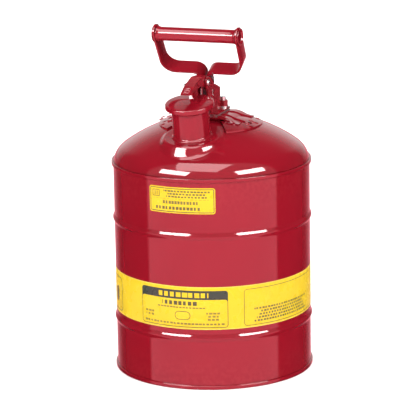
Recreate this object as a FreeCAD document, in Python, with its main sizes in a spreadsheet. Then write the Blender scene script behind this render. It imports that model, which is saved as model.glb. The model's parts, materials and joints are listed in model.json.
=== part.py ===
"""Round 5 gallon safety can for fuel, as separate pieces with a hinged lid and a swinging handle.

Frame: millimetres, +Z up, origin at the middle of the foot, spout towards -Y, grip along X.
The handle is drawn leaning forward on its stop, and the lid is drawn shut.
"""
import FreeCAD, Part
import math
import os
import re
import Sketcher
from FreeCAD import Vector

DIMENSIONS = {
    # can
    "body_radius": 146.5, "wall": 1.2, "shell_bottom": 3.0, "shell_top": 314.0,
    "hoop_low": 78.0, "hoop_high": 230.0, "hoop_half": 5.5, "hoop_proud": 2.3,
    "seam_radius": 149.2, "seam_low": 310.4, "seam_high": 316.0, "seam_round": 0.8,
    "skirt_low": 306.0, "knuckle_level": 309.6, "knuckle_radius": 35.4, "crown_radius": 224.0,
    "foot_high": 6.0, "pan_top": 12.0, "pan_thick": 1.2,
    # spout and its seat in the dome
    "spout_forward": 80.0, "spout_level": 368.0, "spout_tilt": 10.5,
    "spout_radius": 27.4, "spout_wall": 1.6, "spout_bottom": -8.0, "spout_neck": 41.0,
    "lip_radius": 33.0, "lip_top": 45.5, "lip_thick": 1.8, "fillet_width": 3.2, "fillet_height": 3.0,
    "seat_top_radius": 43.0, "seat_top": -2.6, "seat_foot_radius": 56.0, "seat_foot": -24.0,
    "seat_shoulder": 3.0,
    # flame arrester
    "arrester_radius": 24.6, "arrester_wall": 0.8, "arrester_top": 5.0, "arrester_bottom": -52.0,
    "screen_hole": 1.7, "screen_first": -44.0, "screen_step": 7.0,
    "ring_inner": 22.6, "ring_outer": 25.6, "ring_low": 5.0, "ring_high": 7.6,
    # lid
    "lid_radius": 36.0, "lid_top": 51.0, "lid_edge": 49.4, "lid_low": 42.8, "lid_thick": 1.4,
    "lid_corner": 2.2, "lid_crown": 357.8125,
    "gasket_inner": 14.0, "gasket_outer": 33.6, "gasket_low": 45.5, "gasket_high": 48.0,
    "retainer_radius": 21.0, "retainer_thick": 1.4, "retainer_dish": 2.0,
    "rivet_radius": 4.0, "rivet_head": 7.5, "rivet_head_thick": 2.2,
    "clevis_half": 4.0, "clevis_back": 17.0, "clevis_foot": 8.5, "clevis_round": 3.5, "clevis_pin_half": 7.5,
    "clevis_pin_radius": 2.0, "clevis_pin_back": -70.0, "clevis_pin_level": 439.6, "clevis_pin_head": 2.8,
    "clevis_pin_head_thick": 0.8,
    # lever and its hinge
    "hinge_back": -37.0, "hinge_level": 437.0, "pin_radius": 2.5, "running_gap": 0.05,
    "lever_half": 7.5, "lever_side": 1.6, "ear_radius": 7.5,
    "lip_front": -106.0, "lip_level": 431.3, "lip_under_front": -105.0, "lip_under_level": 429.8,
    "crease_front": -90.0, "crease_level": 440.2, "crease_under_front": -89.3, "crease_under_level": 438.4,
    "hump_front": -60.0, "hump_level": 449.0, "lever_rear": -36.5, "lever_rear_level": 447.2,
    "lever_thick": 1.9, "flange_front": -99.0, "flange_front_level": 430.8,
    "flange_middle": -74.0, "flange_middle_level": 434.6, "flange_back": -60.0, "flange_back_level": 435.5,
    "wire_slot_front": -66.8, "wire_slot_rear": -61.0, "wire_slot_level": 442.0, "wire_slot_high": 3.6,
    "hinge_pin_half": 10.4, "hinge_head": 4.5, "hinge_head_thick": 2.0,
    "bush_radius": 3.6, "bush_half": 5.6,
    "coil_radius": 4.6, "wire_radius": 0.7, "coil_pitch": 1.5, "coil_turns": 6.0,
    "leg_turn_front": -61.0, "leg_turn_level": 445.0, "leg_tip_across": -14.0, "leg_tip_front": -75.0,
    "leg_tip_level": 438.6, "back_leg": 11.0,
    # bracket
    "yoke_inner": 8.2, "yoke_outer": 10.4, "yoke_base": 386.6, "yoke_base_thick": 2.0,
    "yoke_front": -24.0, "yoke_rear": 15.4, "yoke_shoulder_level": 421.0, "yoke_crest": -8.0,
    "yoke_crest_level": 430.0, "yoke_dip": -20.0, "yoke_dip_level": 441.0, "yoke_hinge_round": 8.5,
    "yoke_throat": -43.0, "yoke_throat_level": 431.0, "yoke_waist_level": 402.0,
    "tongue_half": 1.95, "tongue_front": -15.0, "tongue_rear": 9.0, "tongue_round": 8.0,
    "pivot_back": -7.0, "pivot_level": 433.0, "pivot_radius": 4.0,
    "slot_back": -14.0, "slot_level": 418.0, "slot_width": 3.2, "slot_half": 4.0,
    "base_half": 19.5, "base_rear": 34.2, "nut_across": 11.0, "nut_back": 25.2,
    "bolt_radius": 4.0, "nut_corner": 7.5, "nut_high": 8.5, "washer_outer": 8.2, "washer_thick": 2.4,
    "shim_front": -29.0, "shim_rear": 33.5, "shim_half": 18.5, "bolt_top": 404.5, "bolt_root": 1.5,
    # saddle plate
    "saddle_radius": 79.5, "saddle_thick": 2.4, "saddle_lift": 0.2,
    "wing_front_across": 46.0, "wing_front": -62.0, "notch_across": 27.0, "notch_front": -31.0,
    "wing_rear_across": 69.0, "wing_rear": 36.0, "bridge_front": 34.0, "bridge_rear": 35.0,
    "bridge_top": 384.2, "bridge_flat": 26.0, "bridge_foot": 56.0, "bridge_foot_level": 376.6,
    # handle, drawn upright about its pivot
    "lean": 30.25, "grip_reach": 88.0, "grip_radius": 10.25, "grip_wall": 1.5,
    "collar_start": 57.5, "collar_radius": 12.0, "collar_end": 61.0,
    "flare_start": 65.7, "flare_radius": 12.6, "flare_end": 67.0,
    "ear_rise": 2.0, "strap_width": 25.0, "strap_thick": 2.6, "strap_top_across": 63.4, "arm_splay": 1.5,
    "run_level": 26.0, "arm_bend": 20.0, "knee_bend": 14.0, "stem_across": 3.4,
    "washer_inner_face": 4.75, "washer_outer_face": 5.6, "pivot_washer_radius": 8.0,
    "pivot_pin_half": 5.7, "pivot_head": 5.5, "pivot_head_thick": 2.0,
    "stop_reach": 6.0, "stop_side": 14.55, "stop_radius": 2.0, "stop_half": 11.6,
    # labels
    "label_thick": 0.3, "band_low": 91.3, "band_high": 155.4,
    "patch_low": 264.3, "patch_high": 302.8, "patch_half_angle": 19.9, "patch_turn": 2.0,
}

# Depth and height of the stop pin, beside the leaning handle's stem.
STOP = ("pivot_back - sin(lean * 1deg) * stop_reach - cos(lean * 1deg) * stop_side",
        "pivot_level + cos(lean * 1deg) * stop_reach - sin(lean * 1deg) * stop_side")

DOC = FreeCAD.newDocument("SafetyCan")
SUB_PARTS = []


def make_sheet():
    """Spreadsheet that holds the driving dimensions, one row each."""
    sheet = DOC.addObject("Spreadsheet::Sheet", "Dims")
    for row, (name, value) in enumerate(DIMENSIONS.items(), start=1):
        sheet.set("A%d" % row, name)
        sheet.set("B%d" % row, str(value))
        sheet.setAlias("B%d" % row, name)
    DOC.recompute()
    return sheet


SHEET = make_sheet()


def dim(name):
    """One driving dimension as a number."""
    return float(SHEET.get(name))


def linked(text):
    """Expression text with each dimension's name pointed at its cell."""
    return re.sub(r"[a-z]+(?:_[a-z]+)*", lambda word: "Dims." + word[0] if word[0] in DIMENSIONS else word[0],
                  text)


def number(text):
    return float(SHEET.evalExpression(linked(text).replace("Dims.", "")))


def bind(item, **sizes):
    """Tie properties to expressions; a double underscore stands for a dot."""
    for path, text in sizes.items():
        item.setExpression(path.replace("__", "."), linked(text))
    return item


def place(item, x="0", y="0", z="0", turn=None, axis="x"):
    """Tie a sub-part's Placement to the sheet: a shift and one turn about a frame axis."""
    bind(item, Placement__Base__x=x, Placement__Base__y=y, Placement__Base__z=z)
    if turn is not None:
        item.Placement = FreeCAD.Placement(item.Placement.Base, FreeCAD.Rotation(AXES[axis], 0))
        for letter in "xyz":
            item.setExpression("Placement.Rotation.Axis." + letter, "1" if letter == axis else "0")
        bind(item, Placement__Rotation__Angle=turn)
    return item


AXES = {"x": Vector(1, 0, 0), "y": Vector(0, 1, 0), "z": Vector(0, 0, 1)}


def keep(item, label):
    """Give a finished sub-part its name and list it for export."""
    item.Label = label
    SUB_PARTS.append(item)
    return item


def new_body(label):
    body = DOC.addObject("PartDesign::Body", "Body_" + label)
    return keep(body, label)


def new_sketch(body, plane):
    sketch = body.newObject("Sketcher::SketchObject", "Sketch")
    support = [item for item in body.Origin.OriginFeatures if item.Role == plane][0]
    sketch.AttachmentSupport = [(support, "")]
    sketch.MapMode = "FlatFace"
    return sketch


def pin_point(sketch, geometry, position, x, y):
    """Fix one point of a sketch at two expressions; a plain 0 puts it on the axis."""
    for kind, text, axis in (("DistanceX", x, -2), ("DistanceY", y, -1)):
        if text == "0":
            sketch.addConstraint(Sketcher.Constraint("PointOnObject", geometry, position, axis))
            continue
        index = sketch.addConstraint(Sketcher.Constraint(kind, -1, 1, geometry, position, number(text)))
        sketch.setExpression("Constraints[%d]" % index, linked(text))


def arc_between(start, end, radius, side):
    """Arc from start to end; side +1 has its centre on the left of the way along, -1 on the right."""
    chord = end - start
    middle = start + chord * 0.5
    left = Vector(-chord.y, chord.x, 0).normalize()
    rise = math.sqrt(max(radius ** 2 - (chord.Length / 2) ** 2, 0))
    centre = middle + left * (side * rise)
    first, last = (start, end) if side > 0 else (end, start)
    angles = [math.atan2(point.y - centre.y, point.x - centre.x) for point in (first, last)]
    return Part.ArcOfCircle(Part.Circle(centre, Vector(0, 0, 1), radius), *angles)


def outline(sketch, corners):
    """Closed outline. A corner is (x, y), or (x, y, radius, side) where an arc leads to it."""
    points = [Vector(number(corner[0]), number(corner[1]), 0) for corner in corners]
    ends = []
    for index, corner in enumerate(corners):
        start, end = points[index - 1], points[index]
        if len(corner) == 2:
            geometry = sketch.addGeometry(Part.LineSegment(start, end), False)
            ends.append((geometry, 1, 2))
            continue
        radius, side = corner[2:]
        geometry = sketch.addGeometry(arc_between(start, end, number(radius), side), False)
        ends.append((geometry, 1, 2) if side > 0 else (geometry, 2, 1))
        size = sketch.addConstraint(Sketcher.Constraint("Radius", geometry, number(radius)))
        sketch.setExpression("Constraints[%d]" % size, linked(radius))
    for index, corner in enumerate(corners):
        geometry, _, finish = ends[index]
        following, begin, _ = ends[(index + 1) % len(corners)]
        sketch.addConstraint(Sketcher.Constraint("Coincident", geometry, finish, following, begin))
        pin_point(sketch, geometry, finish, corner[0], corner[1])
    return sketch


def circles(sketch, radius, centres):
    for x, y in centres:
        middle = Vector(number(x), number(y), 0)
        geometry = sketch.addGeometry(Part.Circle(middle, Vector(0, 0, 1), number(radius)), False)
        size = sketch.addConstraint(Sketcher.Constraint("Radius", geometry, number(radius)))
        sketch.setExpression("Constraints[%d]" % size, linked(radius))
        pin_point(sketch, geometry, 3, x, y)
    return sketch


def turned(body, sketch, kind="Revolution"):
    """Revolve a profile about its sketch's own vertical axis, adding or cutting."""
    item = body.newObject("PartDesign::" + kind, kind)
    item.Profile = sketch
    item.ReferenceAxis = (sketch, ["V_Axis"])
    item.Angle = 360
    return item


def pushed(body, sketch, length, kind="Pad", side="Symmetric", reverse=False):
    """Pad or pocket a sketch by a bound length."""
    item = body.newObject("PartDesign::" + kind, kind)
    item.Profile = sketch
    item.SideType = side
    item.Reversed = reverse
    bind(item, Length=length)
    return item


def turned_body(label, corners, *cuts):
    """Sub-part turned about its own Z axis from one outline, with further outlines cut away."""
    body = new_body(label)
    turned(body, outline(new_sketch(body, "XZ_Plane"), corners))
    for cut in cuts:
        turned(body, outline(new_sketch(body, "XZ_Plane"), cut), "Groove")
    return body


def on_spout(item):
    """Stand a sub-part on the spout's tilted axis, its own zero at the foot of the spout."""
    return place(item, y="-spout_forward", z="spout_level", turn="spout_tilt")


def ring(label, inner, outer, low, high):
    corners = [(inner, low), (outer, low), (outer, high), (inner, high)]
    return turned_body(label, corners)


# Where the knuckle arc meets the crown arc, both drawn about the can's axis.
KNUCKLE_X = "(body_radius - knuckle_radius)"
CROWN_DROP = "sqrt((crown_radius - knuckle_radius) ^ 2 - %s ^ 2)" % KNUCKLE_X
CROWN_Z = "(knuckle_level - %s)" % CROWN_DROP


def dome_join(inset):
    """Radius and height of the meeting point, with the sheet's inset from the outer face."""
    scale = "((crown_radius - %s) / (crown_radius - knuckle_radius))" % inset
    return KNUCKLE_X + " * " + scale, CROWN_Z + " + " + CROWN_DROP + " * " + scale


def hoop(level, inset, direction):
    """Two corners of a rolled hoop on the wall, listed upward (+1) or downward (-1)."""
    wall_radius = "body_radius - " + inset
    below = "%s - hoop_half" % level
    above = "%s + hoop_half" % level
    bulge = "(hoop_half ^ 2 + hoop_proud ^ 2) / (2 * hoop_proud)"
    first, second = (below, above) if direction > 0 else (above, below)
    return [(wall_radius, first), (wall_radius, second, bulge, direction)]


def make_body_shell():
    outside = [("body_radius", "shell_bottom")]
    outside += hoop("hoop_low", "0", 1) + hoop("hoop_high", "0", 1) + [("body_radius", "shell_top")]
    inside = [("body_radius - wall", "shell_top")]
    inside += hoop("hoop_high", "wall", -1) + hoop("hoop_low", "wall", -1)
    inside += [("body_radius - wall", "shell_bottom")]
    turned_body("body_shell", outside + inside)


def make_top_dome():
    """Domed head with its seam hooked over the shell, and a tilted seat raised for the spout."""
    body = new_body("top_dome")
    join_x, join_z = dome_join("0")
    seam_top_x = KNUCKLE_X + " + sqrt(knuckle_radius ^ 2 - (seam_high - knuckle_level) ^ 2)"
    solid = [
        ("0", "skirt_low"),
        ("body_radius - wall", "skirt_low"),
        ("body_radius - wall", "shell_top"),
        ("body_radius", "shell_top"),
        ("body_radius", "seam_low"),
        ("seam_radius - seam_round", "seam_low"),
        ("seam_radius", "seam_low + seam_round"),
        ("seam_radius", "seam_high - seam_round"),
        ("seam_radius - seam_round", "seam_high"),
        (seam_top_x, "seam_high"),
        (join_x, join_z, "knuckle_radius", 1),
        ("0", CROWN_Z + " + crown_radius", "crown_radius", 1),
    ]
    turned(body, outline(new_sketch(body, "XZ_Plane"), solid))
    seat = [
        ("0", "seat_foot"),
        ("seat_foot_radius", "seat_foot"),
        ("seat_top_radius + seat_shoulder * 0.6", "seat_top - seat_shoulder"),
        ("seat_top_radius - seat_shoulder", "seat_top"),
        ("0", "seat_top"),
    ]
    turned(body, tilt_sketch(outline(new_sketch(body, "YZ_Plane"), seat)))
    inner_x, inner_z = dome_join("wall")
    skirt_end = "knuckle_level + sqrt((knuckle_radius - wall) ^ 2 - (knuckle_radius - 2 * wall) ^ 2)"
    hollow = [
        ("0", "skirt_low - 30"),
        ("body_radius - 2 * wall", "skirt_low - 30"),
        ("body_radius - 2 * wall", skirt_end),
        (inner_x, inner_z, "knuckle_radius - wall", 1),
        ("0", CROWN_Z + " + crown_radius - wall", "crown_radius - wall", 1),
    ]
    turned(body, outline(new_sketch(body, "XZ_Plane"), hollow), "Groove")
    seat_hollow = [
        ("0", "seat_foot - 20"),
        ("seat_foot_radius - wall", "seat_foot - 20"),
        ("seat_foot_radius - wall", "seat_foot"),
        ("seat_top_radius - wall", "seat_top - seat_shoulder - wall"),
        ("spout_radius", "seat_top - seat_shoulder - wall"),
        ("spout_radius", "seat_top"),
        ("spout_radius + fillet_width", "seat_top"),
        ("spout_radius + fillet_width", "seat_top + 10"),
        ("0", "seat_top + 10"),
    ]
    turned(body, tilt_sketch(outline(new_sketch(body, "YZ_Plane"), seat_hollow)), "Groove")


def tilt_sketch(sketch):
    """Move a sketch on the YZ plane onto the spout's tilted axis."""
    sketch.AttachmentOffset = FreeCAD.Placement(Vector(), FreeCAD.Rotation(AXES["z"], 0))
    for letter, text in (("x", "0"), ("y", "0"), ("z", "1")):
        sketch.setExpression("AttachmentOffset.Rotation.Axis." + letter, text)
    bind(sketch, AttachmentOffset__Base__x="-spout_forward", AttachmentOffset__Base__y="spout_level",
         AttachmentOffset__Rotation__Angle="spout_tilt")
    return sketch


def make_bottom_head():
    foot_inner = "body_radius - 2 * wall"
    turned_body("bottom_head", [
        ("0", "pan_top - pan_thick"),
        (foot_inner, "pan_top - pan_thick"),
        (foot_inner, "0"),
        ("seam_radius - seam_round", "0"),
        ("seam_radius", "seam_round"),
        ("seam_radius", "foot_high - seam_round"),
        ("seam_radius - seam_round", "foot_high"),
        ("body_radius", "foot_high"),
        ("body_radius", "shell_bottom"),
        ("body_radius - wall", "shell_bottom"),
        ("body_radius - wall", "pan_top"),
        ("0", "pan_top"),
    ])


def make_spout():
    inner = "spout_radius - spout_wall"
    on_spout(turned_body("pour_spout", [
        (inner, "spout_bottom"),
        ("spout_radius", "spout_bottom"),
        ("spout_radius", "seat_top"),
        ("spout_radius + fillet_width", "seat_top"),
        ("spout_radius", "seat_top + fillet_height", "fillet_width", -1),
        ("spout_radius", "spout_neck"),
        ("lip_radius", "lip_top - lip_thick"),
        ("lip_radius", "lip_top"),
        ("lip_radius - 2", "lip_top"),
        (inner, "spout_neck + 1"),
    ]))
    arrester = turned_body("flame_arrester", [
        ("0", "arrester_bottom"),
        ("arrester_radius", "arrester_bottom"),
        ("arrester_radius", "arrester_top"),
        ("arrester_radius - arrester_wall", "arrester_top"),
        ("arrester_radius - arrester_wall", "arrester_bottom + arrester_wall"),
        ("0", "arrester_bottom + arrester_wall"),
    ])
    column = [("0", "screen_first + %d * screen_step" % row) for row in range(6)]
    holes = pushed(arrester, circles(new_sketch(arrester, "YZ_Plane"), "screen_hole", column),
                   "2 * arrester_radius", "Pocket", "One side")
    pattern = arrester.newObject("PartDesign::PolarPattern", "Around")
    pattern.Originals = [holes]
    pattern.Axis = (holes.Profile[0], ["V_Axis"])
    pattern.Angle = 360
    pattern.Occurrences = 16
    arrester.Tip = pattern
    on_spout(arrester)
    on_spout(ring("arrester_ring", "ring_inner", "ring_outer", "ring_low", "ring_high"))


def make_lid():
    """Lid, and the gasket that its riveted retainer holds, all on the spout's axis."""
    on_spout(turned_body("lid_cap", [
        ("0", "gasket_high"),
        ("0", "lid_top"),
        ("lid_radius - lid_corner", "lid_edge", "lid_crown", -1),
        ("lid_radius", "lid_edge - lid_corner", "lid_corner", -1),
        ("lid_radius", "lid_low"),
        ("lid_radius - lid_thick", "lid_low"),
        ("lid_radius - lid_thick", "gasket_high"),
    ]))
    on_spout(ring("lid_gasket", "gasket_inner", "gasket_outer", "gasket_low", "gasket_high"))
    head_face = "gasket_low - retainer_thick"
    on_spout(turned_body("gasket_retainer", [
        ("rivet_radius", head_face),
        ("retainer_radius", head_face),
        ("retainer_radius", "gasket_low"),
        ("gasket_inner", "gasket_low"),
        ("gasket_inner - retainer_dish", "gasket_high"),
        ("rivet_radius", "gasket_high"),
    ]))
    on_spout(turned_body("retainer_rivet", [
        ("0", head_face + " - rivet_head_thick"),
        ("rivet_head - 1", head_face + " - rivet_head_thick"),
        ("rivet_head", head_face + " - rivet_head_thick + 1"),
        ("rivet_head", head_face),
        ("rivet_radius", head_face),
        ("rivet_radius", "gasket_high"),
        ("0", "gasket_high"),
    ]))


def make_clevis():
    """Tab on the back half of the lid, and the pin that ties it to the lever."""
    body = new_body("lid_clevis")
    foot_front = "-spout_forward - lid_edge * sin(spout_tilt * 1deg) + clevis_back - clevis_foot"
    foot_level = "spout_level + lid_edge * cos(spout_tilt * 1deg)"
    tab = outline(new_sketch(body, "YZ_Plane"), [
        (foot_front, foot_level),
        (foot_front + " + 2 * clevis_foot", foot_level),
        ("clevis_pin_back + clevis_round", "clevis_pin_level"),
        ("clevis_pin_back", "clevis_pin_level + clevis_round", "clevis_round", 1),
        ("clevis_pin_back - clevis_round", "clevis_pin_level", "clevis_round", 1),
    ])
    pushed(body, tab, "2 * clevis_half")
    turned(body, tilt_sketch(outline(new_sketch(body, "YZ_Plane"), [
        ("0", "lid_low - 10"),
        ("lid_radius - lid_corner", "lid_low - 10"),
        ("lid_radius - lid_corner", "lid_edge"),
        ("0", "lid_top", "lid_crown", 1),
    ])), "Groove")
    centre = [("clevis_pin_back", "clevis_pin_level")]
    pushed(body, circles(new_sketch(body, "YZ_Plane"), "clevis_pin_radius", centre), "40", "Pocket")
    pin = headed_pin("clevis_pin", "clevis_pin_radius", "clevis_pin_half", "clevis_pin_head",
                     "clevis_pin_head_thick")
    across(pin, "clevis_pin_back", "clevis_pin_level")


def make_lever():
    """Folded channel: a solid side profile, hollowed from below, with a lip that a thumb lifts."""
    body = new_body("lid_lever")
    side = outline(new_sketch(body, "YZ_Plane"), [
        ("lip_front", "lip_level"),
        ("lip_under_front", "lip_under_level"),
        ("flange_front", "flange_front_level"),
        ("flange_middle", "flange_middle_level"),
        ("flange_back", "flange_back_level"),
        ("hinge_back", "hinge_level - ear_radius"),
        ("hinge_back + ear_radius", "hinge_level", "ear_radius", 1),
        ("lever_rear", "lever_rear_level"),
        ("hump_front", "hump_level"),
        ("crease_front", "crease_level"),
    ])
    pushed(body, side, "2 * lever_half")
    lip_slope = "(crease_under_level - lip_under_level) / (crease_under_front - lip_under_front)"
    hollow = outline(new_sketch(body, "YZ_Plane"), [
        ("crease_under_front", "crease_under_level"),
        ("crease_under_front - 15", "crease_under_level - 15 * " + lip_slope),
        ("crease_under_front - 15", "hinge_level - 20"),
        ("hinge_back + ear_radius + 2", "hinge_level - 20"),
        ("hinge_back + ear_radius + 2", "lever_rear_level - lever_thick - 0.4"),
        ("hump_front", "hump_level - lever_thick"),
    ])
    pushed(body, hollow, "2 * (lever_half - lever_side)", "Pocket")
    hinge = circles(new_sketch(body, "YZ_Plane"), "pin_radius + running_gap", [("hinge_back", "hinge_level")])
    pushed(body, hinge, "4 * lever_half", "Pocket")
    slot = outline(new_sketch(body, "YZ_Plane"), [
        ("wire_slot_front", "wire_slot_level"),
        ("wire_slot_rear", "wire_slot_level"),
        ("wire_slot_rear", "wire_slot_level + wire_slot_high"),
        ("wire_slot_front", "wire_slot_level + wire_slot_high"),
    ])
    pushed(body, slot, "2 * lever_half", "Pocket", "One side")
    centre = [("clevis_pin_back", "clevis_pin_level")]
    pushed(body, circles(new_sketch(body, "YZ_Plane"), "clevis_pin_radius", centre), "4 * lever_half", "Pocket")


def across(item, back, level):
    """Lay a turned sub-part along X at a height and depth."""
    return place(item, y=back, z=level, turn="90", axis="y")


def headed_pin(label, radius, half, head, head_thick):
    rim = head_thick + " * 0.4"
    return turned_body(label, [
        ("0", "-%s - %s" % (half, head_thick)),
        ("%s - 1" % head, "-%s - %s" % (half, head_thick)),
        (head, "-%s - %s" % (half, rim)),
        (head, "-" + half),
        (radius, "-" + half),
        (radius, half),
        (head, half),
        (head, "%s + %s" % (half, rim)),
        ("%s - 1" % head, "%s + %s" % (half, head_thick)),
        ("0", "%s + %s" % (half, head_thick)),
    ])


def make_hinge():
    """Pin, bush and torsion spring that the lid's lever turns on."""
    pin = headed_pin("lid_hinge_pin", "pin_radius", "hinge_pin_half", "hinge_head", "hinge_head_thick")
    across(pin, "hinge_back", "hinge_level")
    bush = ring("spring_bush", "pin_radius + running_gap", "bush_radius", "-bush_half", "bush_half")
    across(bush, "hinge_back", "hinge_level")
    make_spring()


def rod(points, radius):
    """Round wire through points, with a ball at each bend."""
    solid = None
    for start, end in zip(points, points[1:]):
        run = Part.makeCylinder(radius, (end - start).Length, start, end - start)
        piece = run.fuse(Part.makeSphere(radius, end))
        solid = piece if solid is None else solid.fuse(piece)
    return solid


def make_spring():
    """Coil under the lever; its front leg slips through the lever's side, its back leg meets the bracket."""
    coil_radius = dim("coil_radius")
    wire_radius = dim("wire_radius")
    length = dim("coil_pitch") * dim("coil_turns")
    helix = Part.makeHelix(dim("coil_pitch"), length, coil_radius)
    section = Part.Wire(Part.makeCircle(wire_radius, Vector(coil_radius, 0, 0), Vector(0, 1, 0)))
    coil = Part.Wire(helix.Edges).makePipeShell([section], True, True)
    coil.Placement = FreeCAD.Placement(Vector(-length / 2, 0, 0), FreeCAD.Rotation(AXES["y"], 90))
    hinge = Vector(0, dim("hinge_back"), dim("hinge_level"))
    turn = Vector(-length / 2, dim("leg_turn_front"), dim("leg_turn_level")) - hinge
    tip = Vector(dim("leg_tip_across"), dim("leg_tip_front"), dim("leg_tip_level")) - hinge
    front = [Vector(-length / 2, 0, -coil_radius), Vector(-length / 2, -coil_radius, -coil_radius), turn, tip]
    back = [Vector(length / 2, 0, -coil_radius), Vector(length / 2, dim("back_leg"), -coil_radius)]
    spring = DOC.addObject("Part::Feature", "Spring")
    spring.Shape = coil.fuse([rod(front, wire_radius), rod(back, wire_radius)])
    place(spring, y="hinge_back", z="hinge_level")
    keep(spring, "lid_spring")


def make_yoke():
    """Bracket: base, two slotted cheeks for the lid's hinge pin and the stop, and a tongue for the handle's pin."""
    body = new_body("handle_yoke")
    cheeks = outline(new_sketch(body, "YZ_Plane"), [
        ("yoke_front", "yoke_base"),
        ("yoke_rear", "yoke_base"),
        ("yoke_rear", "yoke_shoulder_level"),
        ("yoke_crest", "yoke_crest_level"),
        ("yoke_dip", "yoke_dip_level"),
        ("hinge_back", "hinge_level + yoke_hinge_round"),
        ("hinge_back - yoke_hinge_round", "hinge_level", "yoke_hinge_round", 1),
        ("yoke_throat", "yoke_throat_level"),
        ("yoke_front", "yoke_waist_level"),
    ])
    pushed(body, cheeks, "2 * yoke_outer")
    base = outline(new_sketch(body, "YZ_Plane"), [
        ("yoke_front", "yoke_base"),
        ("base_rear", "yoke_base"),
        ("base_rear", "yoke_base + yoke_base_thick"),
        ("yoke_front", "yoke_base + yoke_base_thick"),
    ])
    pushed(body, base, "2 * base_half")
    gap = outline(new_sketch(body, "XZ_Plane"), [
        ("-yoke_inner", "yoke_base + yoke_base_thick"),
        ("yoke_inner", "yoke_base + yoke_base_thick"),
        ("yoke_inner", "hinge_level + 30"),
        ("-yoke_inner", "hinge_level + 30"),
    ])
    pushed(body, gap, "400", "Pocket")
    tongue = outline(new_sketch(body, "YZ_Plane"), [
        ("tongue_front", "yoke_base + yoke_base_thick / 2"),
        ("tongue_rear", "yoke_base + yoke_base_thick / 2"),
        ("pivot_back + tongue_round", "pivot_level"),
        ("pivot_back", "pivot_level + tongue_round", "tongue_round", 1),
        ("pivot_back - tongue_round", "pivot_level", "tongue_round", 1),
    ])
    pushed(body, tongue, "2 * tongue_half")
    for radius, centre in (("pin_radius", ("hinge_back", "hinge_level")),
                           ("pivot_radius", ("pivot_back", "pivot_level")),
                           ("stop_radius", STOP)):
        pushed(body, circles(new_sketch(body, "YZ_Plane"), radius, [centre]), "4 * base_half", "Pocket")
    ends = [("slot_back", "slot_level - slot_half"), ("slot_back", "slot_level + slot_half")]
    pushed(body, circles(new_sketch(body, "YZ_Plane"), "slot_width", ends), "4 * base_half", "Pocket")
    slot = outline(new_sketch(body, "YZ_Plane"), [
        ("slot_back - slot_width", "slot_level - slot_half"),
        ("slot_back + slot_width", "slot_level - slot_half"),
        ("slot_back + slot_width", "slot_level + slot_half"),
        ("slot_back - slot_width", "slot_level + slot_half"),
    ])
    pushed(body, slot, "4 * base_half", "Pocket")
    drill_studs(body)


def make_shim():
    """Plated packing plate between the saddle's pad and the bracket."""
    body = new_body("shim_plate")
    pushed(body, outline(new_sketch(body, "YZ_Plane"), [
        ("shim_front", "bridge_top"),
        ("shim_rear", "bridge_top"),
        ("shim_rear", "yoke_base"),
        ("shim_front", "yoke_base"),
    ]), "2 * shim_half")
    drill_studs(body)


def drill_studs(body):
    studs = [("-nut_across", "nut_back"), ("nut_across", "nut_back")]
    pushed(body, circles(new_sketch(body, "XY_Plane"), "bolt_radius", studs), "1000", "Pocket")


def make_saddle():
    """Plate that follows the dome, cut to two wings, with a bridge pressed up across its middle."""
    body = new_body("saddle_plate")
    low = "(crown_radius + saddle_lift)"
    high = "(crown_radius + saddle_lift + saddle_thick)"
    top_low = CROWN_Z + " + " + low
    edge_low = "%s + sqrt(%s ^ 2 - saddle_radius ^ 2)" % (CROWN_Z, low)
    edge_high = "%s + sqrt(%s ^ 2 - saddle_radius ^ 2)" % (CROWN_Z, high)
    turned(body, outline(new_sketch(body, "XZ_Plane"), [
        ("0", top_low),
        ("saddle_radius", edge_low, low, -1),
        ("saddle_radius", edge_high),
        ("0", CROWN_Z + " + " + high, high, 1),
    ]))
    plan = new_sketch(body, "XY_Plane")
    circles(plan, "saddle_radius + 30", [("0", "0")])
    pushed(body, wing_plan(plan), "1000", "Pocket")
    bridge = pushed(body, bridge_band(new_sketch(body, "XZ_Plane")), "bridge_front", side="Two sides")
    bind(bridge, Length2="bridge_rear")
    turned(body, outline(new_sketch(body, "XZ_Plane"), [
        ("0", edge_low + " - 40"),
        ("saddle_radius", edge_low + " - 40"),
        ("saddle_radius", edge_low),
        ("0", top_low, low, 1),
    ]), "Groove")
    drill_studs(body)


def wing_plan(sketch):
    """The two wings seen from above, with a notch in front for the spout's seat."""
    return outline(sketch, [
        ("-notch_across", "notch_front"),
        ("notch_across", "notch_front"),
        ("wing_front_across", "wing_front"),
        ("wing_rear_across", "wing_rear", "saddle_radius", 1),
        ("-wing_rear_across", "wing_rear"),
        ("-wing_front_across", "wing_front", "saddle_radius", 1),
    ])


def bridge_band(sketch):
    """Bridge seen from the front: a flat top that comes down to each wing in an S."""
    run = "((bridge_foot - bridge_flat) / 2)"
    drop = "((bridge_top - bridge_foot_level) / 2)"
    bend = "((%s ^ 2 + %s ^ 2) / (2 * %s))" % (run, drop, drop)
    turn = "(2 * atan(%s / %s))" % (drop, run)
    middle = ("(bridge_flat + %s)" % run, "bridge_top - " + drop)
    under = ("(%s - saddle_thick * sin(%s))" % (middle[0], turn), "%s - saddle_thick * cos(%s)" % (middle[1], turn))
    return outline(sketch, [
        ("-bridge_flat", "bridge_top"),
        ("-" + middle[0], middle[1], bend, 1),
        ("-bridge_foot", "bridge_foot_level", bend, -1),
        ("-bridge_foot", "bridge_foot_level - saddle_thick"),
        ("-" + under[0], under[1], bend + " + saddle_thick", 1),
        ("-bridge_flat", "bridge_top - saddle_thick", bend + " - saddle_thick", -1),
        ("bridge_flat", "bridge_top - saddle_thick"),
        (under[0], under[1], bend + " - saddle_thick", -1),
        ("bridge_foot", "bridge_foot_level - saddle_thick", bend + " + saddle_thick", 1),
        ("bridge_foot", "bridge_foot_level"),
        (middle[0], middle[1], bend, -1),
        ("bridge_flat", "bridge_top", bend, 1),
    ])


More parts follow.
